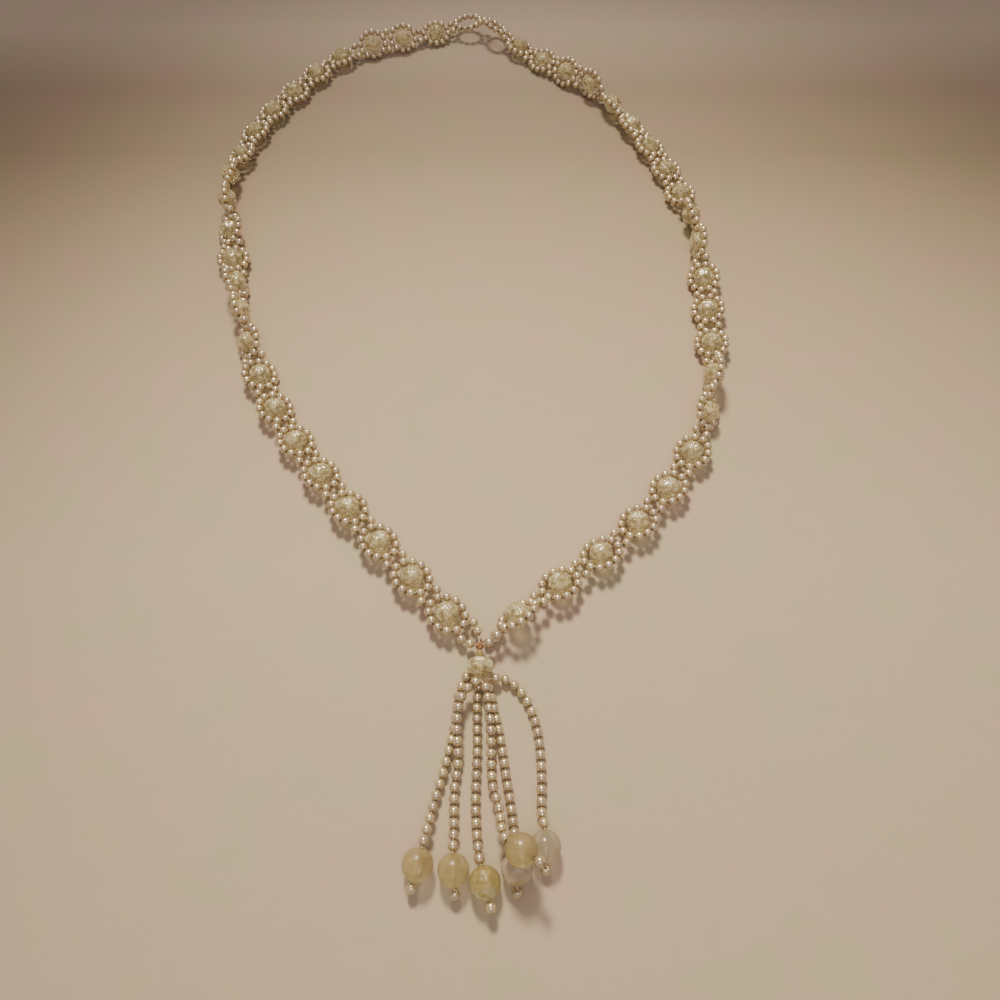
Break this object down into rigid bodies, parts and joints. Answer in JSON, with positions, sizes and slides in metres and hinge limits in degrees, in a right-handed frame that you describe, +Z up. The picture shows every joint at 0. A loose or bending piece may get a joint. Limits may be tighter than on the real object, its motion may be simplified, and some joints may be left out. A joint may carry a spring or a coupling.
{
  "type": "tassel necklace",
  "caption": "Long necklace laid in a loop: pearl rings linked in a band, each round a faceted crystal, then a knot, a faceted bead and a fringe of pearl strands that end in round drop beads.",
  "frame": {"origin": "bottom centre of the bounding box, on the surface that the necklace lies on", "axes": "+Z up from the surface; +Y from the tassel to the back of the loop; +X to the right as seen from the tassel's end"},
  "size_m": [0.2096, 0.4012, 0.0165],
  "materials": {
    "pearls": "glossy champagne pearl lustre",
    "crystals": "clear cut glass with a faint iridescent coat",
    "thread": "thin translucent beading thread",
    "knot_thread": "rust-coloured waxed thread",
    "drops_ochre": "frosted ochre glass",
    "drops_yellow": "clear yellow crackle glass",
    "drops_smoke": "clear smoky brown glass",
    "drops_grey": "clear grey-green glass"
  },
  "bodies": {
    "root": {"band_left_outer": "pearls", "band_left_inner": "pearls", "band_right_outer": "pearls", "band_right_inner": "pearls", "crystals_left": "crystals", "crystals_right": "crystals", "threads_left": "thread", "threads_right": "thread", "closing_thread": "thread", "knot": "knot_thread", "head_bead": "crystals", "tassel_threads": "thread", "strand_a": "pearls", "strand_b": "pearls", "strand_c": "pearls", "strand_d": "pearls", "strand_e": "pearls", "strand_f": "pearls", "drop_a": "drops_ochre", "drop_b": "drops_ochre", "drop_c": "drops_yellow", "drop_d": "drops_ochre", "drop_e": "drops_smoke", "drop_f": "drops_grey"}
  },
  "joints": []
}
